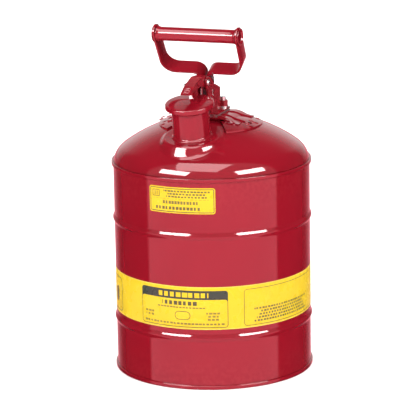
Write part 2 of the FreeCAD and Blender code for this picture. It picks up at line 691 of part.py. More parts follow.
def cylinder(radius, height):
    return bind(DOC.addObject("Part::Cylinder", "Cylinder"), Radius=radius, Height=height)


def joined(kind, base, tool):
    """Part boolean of two objects: Part::Cut or Part::Fuse."""
    item = DOC.addObject(kind, "Joined")
    item.Base = base
    item.Tool = tool
    return item


def mirrored(source):
    item = DOC.addObject("Part::Mirroring", "Mirrored")
    item.Source = source
    item.Normal = AXES["x"]
    return item


def pair(label, item):
    """A fastener and its mirror image as two solids of one sub-part."""
    both = DOC.addObject("Part::Compound", "Pair")
    both.Links = [item, mirrored(item)]
    return keep(both, label)


def make_fasteners():
    """Studs set in the saddle plate, with washers and nuts on the bracket's base."""
    seat = "yoke_base + yoke_base_thick"
    root = "bridge_top - saddle_thick - bolt_root"
    pair("yoke_studs", place(cylinder("bolt_radius", "bolt_top - (%s)" % root), "nut_across", "nut_back", root))
    washer = place(cylinder("washer_outer", "washer_thick"), "nut_across", "nut_back", seat)
    hole = place(cylinder("bolt_radius", "washer_thick"), "nut_across", "nut_back", seat)
    pair("yoke_washers", joined("Part::Cut", washer, hole))
    nut = bind(DOC.addObject("Part::Prism", "Nut"), Circumradius="nut_corner", Height="nut_high")
    nut.Polygon = 6
    place(nut, "nut_across", "nut_back", seat + " + washer_thick")
    bore = place(cylinder("bolt_radius", "nut_high"), "nut_across", "nut_back", seat + " + washer_thick")
    pair("yoke_nuts", joined("Part::Cut", nut, bore))


def make_pivot():
    """Headed pin that the handle swings on, its washers, and the stop that the handle leans on."""
    pin = headed_pin("handle_pivot_pin", "pivot_radius", "pivot_pin_half", "pivot_head", "pivot_head_thick")
    across(pin, "pivot_back", "pivot_level")
    thick = "washer_outer_face - washer_inner_face"
    sides = []
    for radius in ("pivot_washer_radius", "pivot_radius + running_gap"):
        disc = cylinder(radius, thick)
        sides.append(place(disc, "washer_inner_face", "pivot_back", "pivot_level", turn="90", axis="y"))
    pair("pivot_washers", joined("Part::Cut", *sides))
    stop = cylinder("stop_radius", "2 * stop_half")
    keep(place(stop, "-stop_half", *STOP, turn="90", axis="y"), "stop_pin")


def on_handle(item):
    """Lean a sub-part that was drawn upright about the handle's pivot."""
    return place(item, y="pivot_back", z="pivot_level", turn="lean")


def bent_band(corners, bends, thick):
    """Outline of a bent strip: a centre line through corners in XZ, rounded at each inner corner."""
    left, right = [], []
    for index, corner in enumerate(corners):
        before = (corner - corners[index - 1]).normalize() if index else None
        after = (corners[index + 1] - corner).normalize() if index + 1 < len(corners) else None
        if before is None or after is None:
            along = after or before
            side = along.cross(AXES["y"]) * (thick / 2)
            left.append(corner + side)
            right.append(corner - side)
            continue
        half = before.getAngle(after) / 2
        setback = bends[index - 1] * math.tan(half)
        inward = (after - before).normalize()
        centre = corner + inward * (bends[index - 1] / math.cos(half))
        turn = 1 if before.cross(AXES["y"]).dot(inward) > 0 else -1
        arc = [corner - before * setback, centre - inward * bends[index - 1], corner + after * setback]
        for points, sign in ((left, -turn), (right, turn)):
            scale = (bends[index - 1] + sign * thick / 2) / bends[index - 1]
            points.append([centre + (point - centre) * scale for point in arc])
    return strip_wire(left + right[::-1])


def strip_wire(chain):
    """Closed wire through a chain of points and of three-point arcs; arcs on the way back are reversed."""
    middle = len(chain) // 2
    chain = chain[:middle] + [item[::-1] if isinstance(item, list) else item for item in chain[middle:]]
    edges = []
    cursor = chain[-1]
    for item in chain:
        start = item[0] if isinstance(item, list) else item
        edges.append(Part.makeLine(cursor, start))
        cursor = start
        if isinstance(item, list):
            edges.append(Part.Arc(*item).toShape())
            cursor = item[2]
    return Part.Wire(edges)


def make_strap():
    """One strap half: ear, splayed arm, run towards the middle, knee and stem down to the pivot."""
    reach = dim("grip_reach")
    width = dim("strap_width")
    thick = dim("strap_thick")
    slope = math.tan(math.radians(dim("arm_splay")))
    top_across = dim("strap_top_across")
    run_level = dim("run_level")
    corners = [
        Vector(top_across + width * slope, 0, reach + width),
        Vector(top_across - (reach - run_level) * slope, 0, run_level),
        Vector(dim("stem_across"), 0, run_level),
        Vector(dim("stem_across"), 0, -width),
    ]
    band = Part.Face(bent_band(corners, [dim("arm_bend"), dim("knee_bend")], thick))
    strip = band.extrude(Vector(0, width, 0))
    strip.translate(Vector(0, -width / 2, 0))
    long = 2 * reach
    mask = Part.makeBox(long, width, reach + dim("ear_rise"), Vector(0, -width / 2, 0))
    for level in (0, reach + dim("ear_rise")):
        mask = mask.fuse(Part.makeCylinder(width / 2, long, Vector(0, 0, level), AXES["x"]))
    strip = strip.common(mask)
    holes = ((dim("pivot_radius") + dim("running_gap"), 0), (dim("grip_radius"), reach))
    for radius, level in holes:
        strip = strip.cut(Part.makeCylinder(radius, long, Vector(0, 0, level), AXES["x"]))
    strap = DOC.addObject("Part::Feature", "Strap")
    strap.Shape = strip
    keep(on_handle(strap), "strap_right")
    keep(mirrored(strap), "strap_left")


def make_grip():
    """Rolled tube through both ears, with a collar inside each ear and a flare outside."""
    inner = "grip_radius - grip_wall"
    half = [
        ("grip_radius", "collar_start"),
        ("collar_radius", "collar_end - 1"),
        ("collar_radius", "collar_end"),
        ("grip_radius", "collar_end"),
        ("grip_radius", "flare_start"),
        ("flare_radius", "flare_start"),
        ("flare_radius", "flare_end"),
        (inner + " + 1", "flare_end"),
        (inner, "flare_end - 2"),
    ]
    other = [(across_text, "-(%s)" % level) for across_text, level in reversed(half)]
    grip = turned_body("grip_tube", half + other)
    lean = "lean * 1deg"
    place(grip, y="pivot_back - grip_reach * sin(%s)" % lean, z="pivot_level + grip_reach * cos(%s)" % lean,
          turn="90", axis="y")


def make_labels():
    """Wrap label all round the can, and a patch under the spout."""
    outer = "body_radius + label_thick"
    ring("label_band", "body_radius", outer, "band_low", "band_high")
    high = "patch_high - patch_low"
    first = "-90 + patch_turn - patch_half_angle"
    sheet = bind(cylinder(outer, high), Angle="2 * patch_half_angle")
    place(sheet, z="patch_low", turn=first, axis="z")
    core = place(cylinder("body_radius", high), z="patch_low")
    keep(joined("Part::Cut", sheet, core), "label_upper")


def check_and_export():
    """Stop on any failed object or shape, then write one STEP file per sub-part."""
    DOC.recompute()
    for item in DOC.Objects:
        if "Invalid" in item.State or "Error" in item.State:
            raise RuntimeError("%s (%s) did not compute" % (item.Name, item.Label))
    os.makedirs("parts", exist_ok=True)
    for item in SUB_PARTS:
        shape = item.Shape
        if shape.isNull() or not shape.isValid() or not shape.Solids:
            raise RuntimeError("%s has no valid solid" % item.Label)
        print("%-18s %2d solid  %10.1f mm3" % (item.Label, len(shape.Solids), shape.Volume))
        shape.exportStep("parts/%s.step" % item.Label)


make_body_shell()
make_top_dome()
make_bottom_head()
make_spout()
make_lid()
make_clevis()
make_lever()
make_hinge()
make_saddle()
make_yoke()
make_shim()
make_fasteners()
make_pivot()
make_strap()
make_grip()
make_labels()
check_and_export()
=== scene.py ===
"""Looks of the round safety can: detailed meshes and procedural materials on a pale studio floor."""
import json
import math

import bmesh
import bpy
from mathutils import Matrix, Vector


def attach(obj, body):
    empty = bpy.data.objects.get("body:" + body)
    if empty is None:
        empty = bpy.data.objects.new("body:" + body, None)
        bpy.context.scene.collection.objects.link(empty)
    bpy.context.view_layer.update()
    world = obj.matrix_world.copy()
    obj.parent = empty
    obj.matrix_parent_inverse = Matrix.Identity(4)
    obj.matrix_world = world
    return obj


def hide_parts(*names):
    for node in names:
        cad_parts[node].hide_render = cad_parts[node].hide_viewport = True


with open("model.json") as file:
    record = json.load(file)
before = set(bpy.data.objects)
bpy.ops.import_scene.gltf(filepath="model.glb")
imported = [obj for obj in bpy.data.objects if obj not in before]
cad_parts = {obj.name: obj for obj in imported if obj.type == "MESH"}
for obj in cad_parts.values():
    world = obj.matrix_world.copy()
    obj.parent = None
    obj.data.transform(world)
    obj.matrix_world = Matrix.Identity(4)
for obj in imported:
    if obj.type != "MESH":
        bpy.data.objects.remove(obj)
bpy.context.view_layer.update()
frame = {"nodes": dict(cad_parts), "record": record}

MM = 0.001
TURN = 2 * math.pi

# Sizes repeated from the design, in millimetres.
BODY_RADIUS = 146.5
WALL = 1.2
HOOPS = (78.0, 230.0)
HOOP_HALF = 5.5
HOOP_PROUD = 2.3
SEAM_RADIUS = 149.2
SEAM_LOW = 310.4
SEAM_HIGH = 316.0
KNUCKLE_LEVEL = 309.6
KNUCKLE_RADIUS = 35.4
CROWN_RADIUS = 224.0
SPOUT_FOOT = Vector((0, -80.0, 368.0))
SPOUT_TILT = math.radians(10.5)
SPOUT_RADIUS = 27.4
SPOUT_WALL = 1.6
SEAT_DEPTH = 2.6
SEAT_RADIUS = 43.0
SEAT_SLOPE = 1.75
SEAT_REACH = 78.0
LID_RADIUS = 36.0
PIVOT = Vector((0, -7.0, 433.0))
LEAN = math.radians(30.25)
GRIP_REACH = 88.0
GRIP_RADIUS = 10.25
PIVOT_RADIUS = 4.05
STRAP_WIDTH = 25.0
STRAP_THICK = 2.6
STRAP_TOP_ACROSS = 63.4
ARM_SPLAY = 1.5
EAR_RISE = 2.0
RUN_LEVEL = 26.0
STEM_ACROSS = 3.4
ARM_BEND = 20.0
KNEE_BEND = 14.0
SADDLE_PROUD = 2.6
BRIDGE_TOP = 384.2
BRIDGE_DROP = 7.6
BRIDGE_FLAT = 26.0
BRIDGE_SLOPE = 30.0
BRIDGE_SPAN = (-34.0, 35.0)
LABEL_OUT = 0.3
BAND = (91.3, 155.4)
PATCH = (264.3, 302.8)
PATCH_TURN = math.radians(2.0)
PATCH_HALF_ANGLE = math.radians(19.9)

SPOUT_FRAME = Matrix.Translation(SPOUT_FOOT) @ Matrix.Rotation(SPOUT_TILT, 4, "X")
HANDLE_FRAME = Matrix.Translation(PIVOT) @ Matrix.Rotation(LEAN, 4, "X")
UPRIGHT = Matrix.Identity(4)

# Studio: camera direction in degrees, where the windows are, and how bright each thing is.
CAMERA_AZIMUTH = 20.0
AIM_LEVEL = 0.22
WINDOW_SIDES = (("left", -47), ("right", 49))
WINDOW_RISE = 31
WINDOW_SIZE = (1.5, 0.75)
WINDOW_DISTANCE = 2.6
TENT = 0.45
TABLE = 2.1
ROOM = 0.06
BACK_WALL = 0.8
WINDOWS = 17.0
GLINT = 10.0
CEILING = 5.0
REAR_LIGHT = 7.0


# ---------------------------------------------------------------- camera and studio

def make_camera():
    """Long-lens camera, a little above the lid and 20 degrees round to the can's right."""
    azimuth = math.radians(CAMERA_AZIMUTH)
    distance, height = 3.6482, 1.1161
    pitch, yaw, roll = math.radians(13.56), math.radians(-0.063), math.radians(-0.97)
    data = bpy.data.cameras.new("Camera")
    data.sensor_width = 36.0
    data.lens = 215.1
    data.clip_start = 0.1
    data.clip_end = 50.0
    camera = bpy.data.objects.new("Camera", data)
    bpy.context.scene.collection.objects.link(camera)
    around = Matrix.Rotation(azimuth, 4, "Z")
    aim = Matrix.Rotation(-yaw, 4, "Z") @ Matrix.Rotation(math.pi / 2 - pitch, 4, "X")
    spin = Matrix.Rotation(roll, 4, "Z")
    camera.matrix_world = around @ Matrix.Translation((0, -distance, height)) @ aim @ spin
    bpy.context.scene.camera = camera


def look_at(obj, target):
    direction = Vector(target) - obj.location
    obj.rotation_euler = direction.to_track_quat("-Z", "Y").to_euler()


def make_softbox(name, azimuth, elevation, distance, size, radiance):
    """Rectangular light aimed at the can; angles in degrees, azimuth from the camera's side."""
    turn, rise = math.radians(CAMERA_AZIMUTH + azimuth), math.radians(elevation)
    data = bpy.data.lights.new(name, "AREA")
    data.shape = "RECTANGLE"
    data.size, data.size_y = size
    data.energy = radiance * math.pi * size[0] * size[1]
    light = bpy.data.objects.new(name, data)
    bpy.context.scene.collection.objects.link(light)
    flat = distance * math.cos(rise)
    light.location = (flat * math.sin(turn), -flat * math.cos(turn), AIM_LEVEL + distance * math.sin(rise))
    look_at(light, (0, 0, AIM_LEVEL))
    return light


def make_surround():
    """What the enamel mirrors: a tent and a brighter table in front, a dim room aside, a pale wall behind."""
    world = bpy.data.worlds.new("Studio")
    bpy.context.scene.world = world
    world.use_nodes = True
    tent = NodeKit(world.node_tree)
    outward = tent.node("ShaderNodeTexCoord").outputs["Generated"]
    place = tent.node("ShaderNodeSeparateXYZ", {"Vector": outward})
    turn = math.radians(CAMERA_AZIMUTH)
    ahead = tent.math("SUBTRACT", tent.math("MULTIPLY", place.outputs["X"], math.sin(turn)),
                      tent.math("MULTIPLY", place.outputs["Y"], math.cos(turn)))
    aside = tent.math("ADD", tent.math("MULTIPLY", place.outputs["X"], math.cos(turn)),
                      tent.math("MULTIPLY", place.outputs["Y"], math.sin(turn)))
    angle = tent.math("ABSOLUTE", tent.math("ARCTAN2", aside, ahead))
    level = place.outputs["Z"]
    height = tent.ramp(level, -0.03, 0.03, TABLE, TENT)
    ahead_only = tent.ramp(angle, math.radians(79), math.radians(82.5), 1.0, 0.0)
    front = tent.math("MULTIPLY", ahead_only, height)
    behind = tent.ramp(angle, math.radians(138), math.radians(164), 0.0, BACK_WALL)
    low = tent.ramp(level, 0.75, 0.3)
    strength = tent.math("ADD", tent.math("ADD", front, ROOM), tent.math("MULTIPLY", behind, low))
    background = world.node_tree.nodes["Background"]
    tint = tent.mix(tent.ramp(level, -0.03, 0.03), (1.0, 0.38, 0.44, 1), (1.0, 1.0, 1.0, 1))
    tent.feed(background.inputs["Color"], tint)
    tent.feed(background.inputs["Strength"], strength)


def make_studio():
    """White floor that the enamel doesn't mirror, the surround and the softboxes.

    Each window is a softbox with a brighter copy behind it that only shows in reflections, and the
    ceiling panel only shows in reflections. The rear light does the opposite.
    """
    make_surround()
    mesh = bpy.data.meshes.new("Floor")
    reach = 30.0
    mesh.from_pydata([(-reach, -reach, 0), (reach, -reach, 0), (reach, reach, 0), (-reach, reach, 0)],
                     [], [(0, 1, 2, 3)])
    floor = bpy.data.objects.new("Floor", mesh)
    bpy.context.scene.collection.objects.link(floor)
    pale = Material("studio_floor")
    pale.paint(pale.mix(pale.noise(3.0, 2.0), (0.93, 0.93, 0.93, 1), (0.95, 0.95, 0.95, 1)))
    pale.set(Roughness=0.9)
    mesh.materials.append(pale.material)
    floor.visible_glossy = False
    for side, azimuth in WINDOW_SIDES:
        make_softbox("Window_" + side, azimuth, WINDOW_RISE, WINDOW_DISTANCE, WINDOW_SIZE, WINDOWS)
    for side, azimuth in WINDOW_SIDES:
        glint = make_softbox("Glint_" + side, azimuth, WINDOW_RISE, WINDOW_DISTANCE + 0.02, WINDOW_SIZE, GLINT)
        glint.visible_diffuse = False
    ceiling = make_softbox("Ceiling_panel", -20, 63, 2.7, (2.1, 1.9), CEILING)
    ceiling.visible_diffuse = False
    rear = make_softbox("Rear_light", 180, 52, 4.2, (4.0, 3.0), REAR_LIGHT)
    rear.visible_glossy = False


# ---------------------------------------------------------------- materials

class NodeKit:
    """Small helpers that add nodes to a tree and join them."""

    def __init__(self, tree):
        self.nodes = tree.nodes
        self.links = tree.links

    def node(self, kind, inputs=None, **settings):
        made = self.nodes.new(kind)
        for name, value in settings.items():
            setattr(made, name, value)
        for name, value in (inputs or {}).items():
            self.feed(made.inputs[name], value)
        return made

    def feed(self, socket, value):
        """Join an output to a socket, or set the socket's own value."""
        if isinstance(value, bpy.types.NodeSocket):
            self.links.new(value, socket)
        else:
            socket.default_value = value

    def place(self):
        return self.node("ShaderNodeTexCoord").outputs["Object"]

    def noise(self, scale, detail=3.0, roughness=0.5, stretch=(1, 1, 1)):
        mapping = self.node("ShaderNodeMapping", {"Vector": self.place(), "Scale": stretch})
        inputs = {"Vector": mapping.outputs[0], "Scale": scale, "Detail": detail, "Roughness": roughness}
        return self.node("ShaderNodeTexNoise", inputs).outputs["Fac"]

    def ramp(self, value, low, high, start=0.0, end=1.0):
        inputs = {"Value": value, "From Min": low, "From Max": high, "To Min": start, "To Max": end}
        return self.node("ShaderNodeMapRange", inputs, clamp=True).outputs[0]

    def math(self, operation, first, second=0.0):
        return self.node("ShaderNodeMath", {0: first, 1: second}, operation=operation).outputs[0]

    def mix(self, share, first, second):
        made = self.node("ShaderNodeMix", data_type="RGBA")
        self.feed(made.inputs[0], share)
        self.feed(made.inputs[6], first)
        self.feed(made.inputs[7], second)
        return made.outputs[2]


class Material(NodeKit):
    """A principled material under construction."""

    def __init__(self, name):
        self.material = bpy.data.materials.new(name)
        self.material.use_nodes = True
        super().__init__(self.material.node_tree)
        self.shader = self.nodes["Principled BSDF"]

    def set(self, **values):
        for name, value in values.items():
            self.shader.inputs[name.replace("_", " ")].default_value = value

    def bump(self, height, strength, distance):
        inputs = {"Height": height, "Strength": strength, "Distance": distance}
        made = self.node("ShaderNodeBump", inputs)
        self.links.new(made.outputs[0], self.shader.inputs["Normal"])

    def paint(self, colour):
        self.feed(self.shader.inputs["Base Color"], colour)


def enamel():
    """Deep gloss red over steel: soft colour drift, faint orange peel and a painted pale-pink highlight on
    sharp edges, broken up by noise.
    """
    m = Material("red_enamel")
    drift = m.ramp(m.noise(5.0, 2.0), 0.3, 0.7)
    body = m.mix(drift, (0.195, 0.0035, 0.010, 1), (0.218, 0.0045, 0.012, 1))
    edges = m.node("ShaderNodeNewGeometry").outputs["Pointiness"]
    # Sharp edges get a paler pink in noisy spots: a painted highlight for the pale reflections that the edges
    # catch.
    edge_sheen = m.math("MULTIPLY", m.ramp(edges, 0.53, 0.62), m.ramp(m.noise(160.0, 4.0), 0.4, 0.7))
    m.paint(m.mix(m.math("MULTIPLY", edge_sheen, 0.15), body, (0.50, 0.06, 0.06, 1)))
    smears = m.ramp(m.noise(18.0, 3.0, 0.5), 0.3, 0.75, 0.05, 0.10)
    m.feed(m.shader.inputs["Roughness"], smears)
    m.set(IOR=1.55, Specular_Tint=(1.0, 0.7, 0.72, 1))
    m.set(Coat_Weight=0.3, Coat_Roughness=0.03)
    m.bump(m.noise(260.0, 2.0), 0.02, 0.0004)
    return m.material


def plated_steel():
    """Bright zinc: brushed bands, a blue-grey to straw drift and dull spots."""
    m = Material("zinc_plate")
    drift = m.ramp(m.noise(70.0, 4.0), 0.3, 0.7)
    m.paint(m.mix(drift, (0.60, 0.62, 0.66, 1), (0.74, 0.73, 0.68, 1)))
    m.feed(m.shader.inputs["Roughness"], m.ramp(m.noise(240.0, 3.0), 0.3, 0.7, 0.22, 0.42))
    m.set(Metallic=1.0)
    m.bump(m.noise(900.0, 2.0, 0.6, (1, 0.15, 1)), 0.12, 0.0003)
    return m.material


def spring_wire():
    """Dark oiled wire with drawn streaks."""
    m = Material("spring_wire")
    m.paint(m.mix(m.ramp(m.noise(300.0, 3.0), 0.35, 0.7), (0.035, 0.035, 0.038, 1), (0.10, 0.095, 0.09, 1)))
    m.feed(m.shader.inputs["Roughness"], m.ramp(m.noise(500.0, 3.0), 0.3, 0.7, 0.28, 0.45))
    m.set(Metallic=0.9)
    m.bump(m.noise(1500.0, 2.0), 0.1, 0.0002)
    return m.material


def screen_steel():
    """Stainless screen, woven finely enough to read as a weave in the metal."""
    m = Material("screen_steel")
    place = m.node("ShaderNodeSeparateXYZ", {"Vector": m.place()})
    across = m.math("MULTIPLY", place.outputs["Z"], 3600.0)
    around = m.math("MULTIPLY", m.math("ADD", place.outputs["X"], place.outputs["Y"]), 3600.0)
    weave = m.math("MULTIPLY", m.math("SINE", across), m.math("SINE", around))
    # The colour is darker in the weave's dips and lighter on its crests: painted shade and light that follow
    # the woven wires.
    m.paint(m.mix(m.ramp(weave, -1.0, 1.0), (0.30, 0.30, 0.31, 1), (0.62, 0.62, 0.62, 1)))
    m.set(Metallic=1.0, Roughness=0.38)
    m.bump(weave, 0.3, 0.0002)
    return m.material


def seal_rubber():
    m = Material("seal_rubber")
    m.paint(m.mix(m.ramp(m.noise(120.0, 4.0), 0.3, 0.7), (0.010, 0.010, 0.011, 1), (0.028, 0.027, 0.027, 1)))
    m.feed(m.shader.inputs["Roughness"], m.ramp(m.noise(300.0, 3.0), 0.3, 0.7, 0.55, 0.8))
    m.bump(m.noise(800.0, 3.0), 0.2, 0.0003)
    return m.material


class Print(Material):
    """Printed film on the can's side: shapes are drawn in millimetres along the wall (s) and up it (z)."""

    def __init__(self, name):
        super().__init__(name)
        place = self.node("ShaderNodeSeparateXYZ", {"Vector": self.place()})
        angle = self.math("ARCTAN2", place.outputs["X"], self.math("MULTIPLY", place.outputs["Y"], -1.0))
        self.s = self.math("MULTIPLY", angle, BODY_RADIUS)
        self.z = self.math("MULTIPLY", place.outputs["Z"], 1.0 / MM)

    def distance(self, box, corner):
        """Signed distance to a rounded box (left, right, bottom, top); negative inside."""
        left, right, bottom, top = box
        sides = []
        for axis, low, high in ((self.s, left, right), (self.z, bottom, top)):
            off = self.math("ABSOLUTE", self.math("SUBTRACT", axis, (low + high) / 2))
            sides.append(self.math("SUBTRACT", off, (high - low) / 2 - corner))
        outside = [self.math("MAXIMUM", side, 0.0) for side in sides]
        squares = [self.math("MULTIPLY", side, side) for side in outside]
        reach = self.math("SQRT", self.math("ADD", *squares))
        inner = self.math("MINIMUM", self.math("MAXIMUM", *sides), 0.0)
        return self.math("SUBTRACT", self.math("ADD", reach, inner), corner)

    def filled(self, box, corner=0.4):
        return self.ramp(self.distance(box, corner), 0.12, -0.12)

    def outlined(self, box, corner, width):
        off = self.math("ABSOLUTE", self.math("ADD", self.distance(box, corner), width / 2))
        return self.ramp(off, width / 2 + 0.1, width / 2 - 0.1)

    def blocks(self, box, pitch, share, seed=0.0):
        """A row of plain blocks with uneven gaps."""
        step = self.math("FLOOR", self.math("DIVIDE", self.math("ADD", self.s, 400.0 + seed), pitch))
        part = self.math("FRACT", self.math("DIVIDE", self.math("ADD", self.s, 400.0 + seed), pitch))
        chance = self.node("ShaderNodeTexWhiteNoise", {"W": step}, noise_dimensions="1D").outputs["Value"]
        wide = self.ramp(chance, 0.0, 1.0, share * 0.75, min(share * 1.2, 0.93))
        shown = self.ramp(self.math("SUBTRACT", wide, part), -0.03, 0.03)
        return self.math("MULTIPLY", self.filled(box, 0.2), shown)

    def lines(self, box, rows, pitch):
        """Rows of small print, as faint broken lines."""
        left, right, bottom, top = box
        total = 0.0
        for row in range(rows):
            level = top - (top - bottom) * (row + 0.5) / rows
            height = (top - bottom) / rows * 0.31
            inset = (right - left) * 0.10 * ((row * 7) % 4) / 3
            strip = (left + inset, right - inset, level - height, level + height)
            line = self.blocks(strip, pitch, 0.72, row * 37.0)
            total = self.math("ADD", total, line)
        return self.math("MINIMUM", total, 1.0)

    def finish(self, ground, ink, marks):
        colour = ground
        for mask, strength, tone in marks:
            colour = self.mix(self.math("MULTIPLY", mask, strength), colour, tone or ink)
        self.paint(colour)
        self.feed(self.shader.inputs["Roughness"], self.ramp(self.noise(60.0, 3.0), 0.3, 0.7, 0.22, 0.34))
        self.set(IOR=1.5, Specular_IOR_Level=0.3)
        self.bump(self.noise(260.0, 2.0), 0.02, 0.0004)
        return self.material


YELLOW = (0.60, 0.405, 0.012, 1)
PALE = (0.66, 0.50, 0.10, 1)
INK = (0.035, 0.042, 0.034, 1)


def sun_faded(printer):
    """Yellow film with a slow change of tone along it."""
    return printer.mix(printer.ramp(printer.noise(12.0, 3.0), 0.35, 0.65), YELLOW, (0.62, 0.43, 0.018, 1))


def wrap_print():
    """Band round the can: outlined panels, a dark heading with plain blocks, and rows of faint lines."""
    m = Print("wrap_print")
    low, high = BAND[0] + 2.9, BAND[1] - 5.6
    left, right = (math.radians(1.4 + side * 26.8) * BODY_RADIUS for side in (-1, 1))
    middle = (left + right) / 2
    heading = m.filled((left, right, low, high), 4.5)
    under = m.filled((left + 0.9, right - 0.9, low + 0.9, high - 13.5), 3.6)
    heading = m.math("MULTIPLY", heading, m.math("SUBTRACT", 1.0, under))
    marks = [
        (heading, 1.0, None),
        (m.blocks((middle - 38, middle + 40, high - 10.6, high - 3.4), 9.4, 0.80), 1.0, YELLOW),
        (m.blocks((middle - 31, middle + 24, high - 22.6, high - 16.6), 7.3, 0.72, 3.0), 0.92, None),
        (m.lines((middle - 40, middle + 36, high - 27.7, high - 24.4), 1, 5.0), 0.75, None),
        (m.lines((left + 6, left + 24, low + 12, low + 22), 2, 6.0), 0.7, None),
        (m.lines((right - 32, right - 12, low + 10, low + 24), 3, 6.0), 0.7, None),
        (m.outlined((middle - 11, middle + 13, low + 11, low + 24), 6.4, 1.0), 0.9, None),
        (m.lines((left + 5, right - 5, low + 3, low + 7.5), 1, 5.5), 0.75, None),
    ]
    start = math.radians(37.5) * BODY_RADIUS
    side = (start, start + 172.0, low, high)
    marks += [(m.outlined(side, 5.0, 0.9), 0.9, None),
              (m.lines((start + 16, start + 128, low + 4, low + 27), 5, 5.0), 0.85, None)]
    back = math.radians(-47.0) * BODY_RADIUS
    marks += [(m.outlined((back - 46, back, low + 1, high - 3), 8.0, 1.6), 0.9, None),
              (m.filled((back - 30, back - 16, low + 14, high - 18), 6.5), 0.9, None),
              (m.lines((back - 190, back - 62, low + 6, high - 8), 7, 6.0), 0.5, None)]
    for level in (BAND[0] + 0.6, BAND[1] - 0.6):
        marks.append((m.filled((-500, 500, level - 0.5, level + 0.5)), 0.8, PALE))
    return m.finish(sun_faded(m), INK, marks)


def patch_print():
    """Small upper label: a thin dark border, a ruled corner box and rows of plain lines."""
    m = Print("patch_print")
    half = PATCH_HALF_ANGLE * BODY_RADIUS
    middle = PATCH_TURN * BODY_RADIUS
    low, high = PATCH
    box = (middle - half + 1.6, middle + half - 1.6, low + 1.6, high - 1.6)
    left, right = box[:2]
    marks = [
        (m.outlined(box, 2.4, 1.1), 0.95, None),
        (m.outlined((left + 4, left + 16, high - 15, high - 5), 1.0, 1.0), 0.9, None),
        (m.blocks((left + 7, left + 13, high - 13, high - 7), 3.2, 0.5), 0.8, None),
        (m.lines((left + 22, right - 6, high - 16, high - 4), 3, 5.0), 0.85, None),
        (m.blocks((left + 20, right - 24, low + 13.6, low + 18.2), 4.6, 0.72), 0.8, None),
        (m.blocks((left + 8, right - 20, low + 5.2, low + 9.8), 5.4, 0.66, 2.0), 0.85, None),
        (m.lines((left + 6, right - 8, low + 20.2, low + 21.6), 1, 6.0), 0.4, None),
    ]
    return m.finish(sun_faded(m), INK, marks)


# ---------------------------------------------------------------- mesh tools

def new_object(name, vertices, faces, matrix=UPRIGHT, sharp=34.0):
    """Mesh object at the origin from millimetre vertices, smooth but for edges sharper than the angle."""
    mesh = bpy.data.meshes.new(name)
    scaled = [(matrix @ Vector(vertex)) * MM for vertex in vertices]
    mesh.from_pydata([tuple(vertex) for vertex in scaled], [], faces)
    obj = bpy.data.objects.new(name, mesh)
    bpy.context.scene.collection.objects.link(obj)
    tidy_mesh(mesh, sharp)
    return obj


def tidy_mesh(mesh, sharp=34.0):
    """Weld doubles, face outwards and shade smooth."""
    work = bmesh.new()
    work.from_mesh(mesh)
    bmesh.ops.remove_doubles(work, verts=work.verts, dist=1e-6)
    bmesh.ops.recalc_face_normals(work, faces=work.faces)
    work.to_mesh(mesh)
    work.free()
    mesh.shade_smooth()
    mesh.set_sharp_from_angle(angle=math.radians(sharp))


def round_arc(start, end, sweep, share):
    """Offset from an arc's centre, part of the way from its start to its end."""
    return (start * math.sin((1 - share) * sweep) + end * math.sin(share * sweep)) / math.sin(sweep)


def rounded(corners, steps=5):
    """Closed polyline in 2-D with round corners; each corner is (x, y, radius)."""
    line = []
    for index, (x, y, radius) in enumerate(corners):
        corner = Vector((x, y))
        before = corner - Vector(corners[index - 1][:2])
        after = Vector(corners[(index + 1) % len(corners)][:2]) - corner
        reach = min(before.length, after.length) * 0.49
        before.normalize()
        after.normalize()
        half = before.angle(after) / 2
        if radius <= 0 or half < 0.01:
            line.append(corner)
            continue
        setback = min(radius * math.tan(half), reach)
        bend = setback / math.tan(half)
        inward = (after - before).normalized()
        centre = corner + inward * (bend / math.cos(half))
        start, end = corner - before * setback - centre, corner + after * setback - centre
        for step in range(steps + 1):
            share = step / steps
            sweep = start.angle(end)
            offset = round_arc(start, end, sweep, share) if sweep > 1e-4 else start.lerp(end, share)
            line.append(centre + offset)
    return [tuple(point) for point in line]


def lathe(name, profile, matrix=UPRIGHT, segments=192, sharp=34.0, span=None):
    """Turn a closed profile of (radius, height) about Z; span gives first and last angle of a part turn."""
    first, last = span or (0.0, TURN)
    rings = segments if span is None else segments + 1
    count = len(profile)
    vertices = []
    for ring in range(rings):
        angle = first + (last - first) * ring / segments
        direction = (math.cos(angle), math.sin(angle))
        vertices += [(max(r, 0.0) * direction[0], max(r, 0.0) * direction[1], z) for r, z in profile]
    faces = []
    for ring in range(segments):
        following = (ring + 1) % rings
        for point in range(count):
            after = (point + 1) % count
            if profile[point][0] <= 0 and profile[after][0] <= 0:
                continue
            faces.append((ring * count + point, following * count + point,
                          following * count + after, ring * count + after))
    if span is not None:
        faces.append(tuple(range(count)))
        faces.append(tuple(range((rings - 1) * count, rings * count))[::-1])
    return new_object(name, vertices, faces, matrix, sharp)


def dress(obj, material, body, slot, *nodes):
    """Finish a piece: material, the body it rides on and the nodes that it stands for; the slot argument is
    not used.
    """
    obj.data.materials.clear()
    obj.data.materials.append(material)
    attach(obj, body)
    if nodes:
        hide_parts(*nodes)
    return obj


def soften(obj, width, segments=3, angle=32.0):
    """Rounded edges by a bevel, applied to the mesh."""
    bevel = obj.modifiers.new("Rounded", "BEVEL")
    bevel.width = width * MM
    bevel.segments = segments
    bevel.limit_method = "ANGLE"
    bevel.angle_limit = math.radians(angle)
    bevel.harden_normals = False
    apply_modifiers(obj)


def apply_modifiers(obj):
    """Replace the mesh by its modified result."""
    graph = bpy.context.evaluated_depsgraph_get()
    result = bpy.data.meshes.new_from_object(obj.evaluated_get(graph))
    old = obj.data
    obj.modifiers.clear()
    obj.data = result
    bpy.data.meshes.remove(old)
    tidy_mesh(result)


def carve(obj, tool, operation="DIFFERENCE"):
    """Exact boolean with another object, which is then deleted."""
    cut = obj.modifiers.new("Carve", "BOOLEAN")
    cut.object = tool
    cut.operation = operation
    cut.solver = "EXACT"
    bpy.context.view_layer.update()
    apply_modifiers(obj)
    bpy.data.objects.remove(tool)


